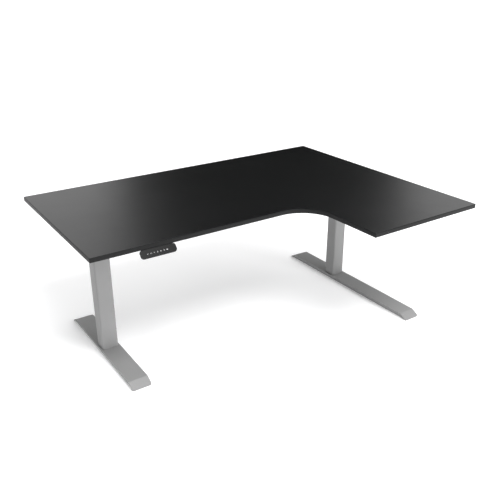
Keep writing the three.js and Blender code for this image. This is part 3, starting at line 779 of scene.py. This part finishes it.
# %% Screws that lock the rails, and those of the two plastic cases
rail_places = []
for name in ("front_rail_sleeve", "back_rail_sleeve"):
    low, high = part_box(name)
    rail_places += [(high.x - back, (low.y + high.y) / 2, low.z) for back in (0.015, 0.060)]
screws("rail_screws", rail_places, DOWN, RAIL_SCREW_SIZE, zinc_steel, "top")

low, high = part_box("control_box")
inset = 0.012
corners = [(x, y, low.z) for x in (low.x + inset, high.x - inset) for y in (low.y + inset, high.y - inset)]
screws("box_screws", corners, DOWN, SMALL_SCREW_SIZE, zinc_steel, "top")

low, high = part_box("handset_cover")
FLANGE = 0.003
middle_x, flange_y = (low.x + high.x) / 2, high.y - 0.010
flange_places = [(middle_x + offset, flange_y, high.z - FLANGE) for offset in (-0.044, 0.044)]
screws("handset_screws", flange_places, DOWN, FLANGE_SCREW_SIZE, zinc_steel, "top")

# %% [markdown]
# ## Motors
# A desk motor is a black can that lies beside its column. A profile turned about the shaft
# gives it the rolled joint of its end cap and a rounded back.

# %% Motor cans
MOTOR_SHAPE = ((17.0, 0.0), (19.2, 0.9), (19.6, 2.4), (19.6, 28.0), (18.8, 28.8), (18.8, 31.0), (19.6, 31.8),
               (19.6, 91.0), (19.0, 92.0), (18.8, 96.5), (17.6, 99.0), (13.0, 99.9))


def motor_can(side):
    """The can, from the end that enters the column head to its back."""
    low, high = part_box(f"{side}_motor")
    inward = 1 if side == "left" else -1
    length = MOTOR_SHAPE[-1][1] / 1000
    back = high.x if inward > 0 else low.x
    place = (back - inward * length, (low.y + high.y) / 2, (low.z + high.z) / 2)
    profile = [(radius / 1000, height / 1000) for radius, height in MOTOR_SHAPE]
    can = moved(turned(profile, 56), facing(place, (inward, 0, 0)))
    piece = new_piece(f"{side}_motor_can", *can, case_plastic, "top")
    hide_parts(f"{side}_motor")
    return piece


cans = [motor_can(side) for side in SIDES]
print("motor cans", [round(c.dimensions.x, 4) for c in cans])

# %% [markdown]
# ## Lead clips
# The leads run under the top from the motors and the handset to the control box. Saddle clips
# hold them: a strip of plastic bent over the lead with a small screw at each end. A clip is
# one outline, like a wide letter omega, drawn out along the lead.

# %% Saddle clips
CLIP_THICK = 0.0012
CLIP_EAR = 0.0055
CLIP_LENGTH = 0.010
CLIP_CLEARANCE = 0.0002
CLIP_SCREW_SIZE = (0.0017, 0.0010)


def clip_section(lead_radius, reach):
    """(across, up) round the omega; the board is `reach` above the lead's middle."""
    inner = lead_radius + CLIP_CLEARANCE
    outer = inner + CLIP_THICK
    ear = outer + CLIP_EAR
    section = [(-ear, reach), (-ear, reach - CLIP_THICK), (-outer, reach - CLIP_THICK)]
    section += arc((0, 0), outer, 180, 360, 14)
    section += [(outer, reach - CLIP_THICK), (ear, reach - CLIP_THICK), (ear, reach), (inner, reach)]
    section += arc((0, 0), inner, 360, 180, 14)
    section.append((-inner, reach))
    return section


def saddle_clip(name, place, heading, lead_radius):
    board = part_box("handset_case")[1].z
    reach = board - place[2]
    section = clip_section(lead_radius, reach)
    half = CLIP_LENGTH / 2
    strip = loft([[(x, y, z) for x, z in section] for y in (-half, half)])
    off = lead_radius + CLIP_THICK + CLIP_EAR / 2
    ears = [(x, 0, reach - CLIP_THICK) for x in (-off, off)]
    heads = [moved(socket_screw(*CLIP_SCREW_SIZE), facing(ear, DOWN)) for ear in ears]
    turn = Matrix.Translation(Vector(place)) @ Matrix.Rotation(math.radians(heading - 90), 4, "Z")
    clip = new_piece(name, *moved(merged([strip] + heads), turn), guide_plastic, "top", sharp=30)
    return clip


MOTOR_LEAD, HANDSET_LEAD = 0.003, 0.002     # radius
CLIPS = (((-0.2800, 0.2045, 0.6150), -1, MOTOR_LEAD), ((0.4000, 0.2075, 0.6150), 0, MOTOR_LEAD),
         ((-0.4200, 0.0200, 0.6173), 48, HANDSET_LEAD), ((-0.3300, 0.1000, 0.6173), 33, HANDSET_LEAD),
         ((-0.2200, 0.1480, 0.6173), 14, HANDSET_LEAD), ((-0.0900, 0.1600, 0.6173), 2, HANDSET_LEAD))
clips = [saddle_clip(f"lead_clip_{i + 1}", *facts) for i, facts in enumerate(CLIPS)]
print("clips", len(clips))

# %% [markdown]
# ## Keys of the handset
# Seven round keys stand in a row on the sloping face. A key is a turned cap with a shallow
# dish, so that a finger finds it, and its sign stands a hair above the dish: two arrows for up
# and down, four numbers for stored heights, and a ring that stores one.

# %% The frame of the key face
KEY_NAMES = ("up", "down", "one", "two", "three", "four", "store")
FACE_SLOPE = 49.3           # degrees above the horizontal
FACE_STEP = 0.001           # from the front edge of the top to the start of the face
KEY_LINE = -0.0183          # middle of the keys, down the slope
face_place = Vector((0, band_high.y - MAIN_DEPTH - FACE_STEP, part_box("handset_case")[1].z))
face_turn = Matrix.Rotation(math.radians(FACE_SLOPE), 4, "X")


def on_key(name):
    """The matrix of a key: X across the row, Y up the slope, Z out of the face."""
    low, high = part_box(f"key_{name}")
    on_face = Matrix.Translation(((low.x + high.x) / 2, KEY_LINE, 0))
    return Matrix.Translation(face_place) @ face_turn @ on_face


print("key face starts at", tuple(round(c, 4) for c in face_place))

# %% Key caps
KEY_SHAPE = ((6.3, -3.8), (6.3, -2.5), (5.3, -2.5), (5.3, 0.45), (5.22, 0.68), (5.05, 0.84), (4.8, 0.9),
             (4.55, 0.86), (4.1, 0.78), (2.5, 0.72))


def key_cap(name):
    profile = [(radius / 1000, height / 1000) for radius, height in KEY_SHAPE]
    cap = new_piece(f"cap_{name}", *moved(turned(profile, 48), on_key(name)), key_plastic, f"key_{name}_body")
    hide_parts(f"key_{name}")
    return cap


caps = [key_cap(name) for name in KEY_NAMES]
print("key caps", len(caps))

# %% Signs on the keys
SIGN_LOW, SIGN_HIGH = 0.0006, 0.00086
ARROW_HALF, ARROW_RISE, ARROW_STROKE = 0.0023, 0.0026, 0.0009


def raised(outline):
    """A flat outline as a thin slab."""
    return loft([at_height(outline, z) for z in (SIGN_LOW, SIGN_HIGH)])


def chevron(direction):
    """An arrow head of two strokes that points up or down the slope."""
    tip, foot = ARROW_RISE / 2, -ARROW_RISE / 2
    points = [(-ARROW_HALF, foot), (-ARROW_HALF, foot + ARROW_STROKE), (0, tip + ARROW_STROKE / 2)]
    points += [(ARROW_HALF, foot + ARROW_STROKE), (ARROW_HALF, foot), (0, tip - ARROW_STROKE / 2)]
    return raised([(x, y * direction) for x, y in points])


def figure(digit):
    """A number, from the font that Blender always has."""
    curve = bpy.data.curves.new("figure", "FONT")
    curve.body = digit
    curve.size = 0.0068
    curve.extrude = (SIGN_HIGH - SIGN_LOW) / 2
    curve.align_x = "CENTER"
    curve.align_y = "CENTER"
    carrier = bpy.data.objects.new("figure", curve)
    mesh = bpy.data.meshes.new_from_object(carrier)
    middle = (SIGN_HIGH + SIGN_LOW) / 2
    points = [(v.co.x, v.co.y, v.co.z + middle) for v in mesh.vertices]
    faces = [tuple(p.vertices) for p in mesh.polygons]
    bpy.data.objects.remove(carrier)
    bpy.data.meshes.remove(mesh)
    bpy.data.curves.remove(curve)
    return points, faces


def ring_sign():
    """A ring round a dot."""
    outer, inner, dot = 0.0023, 0.0015, 0.0007
    section = ((outer, SIGN_LOW), (outer, SIGN_HIGH), (inner, SIGN_HIGH), (inner, SIGN_LOW))
    band = [circle(radius, height) for radius, height in section]
    return merged([loft(band, closed=True), loft([circle(dot, SIGN_LOW), circle(dot, SIGN_HIGH)])])


SIGNS = (chevron(1), chevron(-1), figure("1"), figure("2"), figure("3"), figure("4"), ring_sign())
for name, shape in zip(KEY_NAMES, SIGNS):
    sign = new_piece(f"sign_{name}", *moved(shape, on_key(name)), sign_ink, f"key_{name}_body", smooth=False)
print("signs", len(SIGNS))
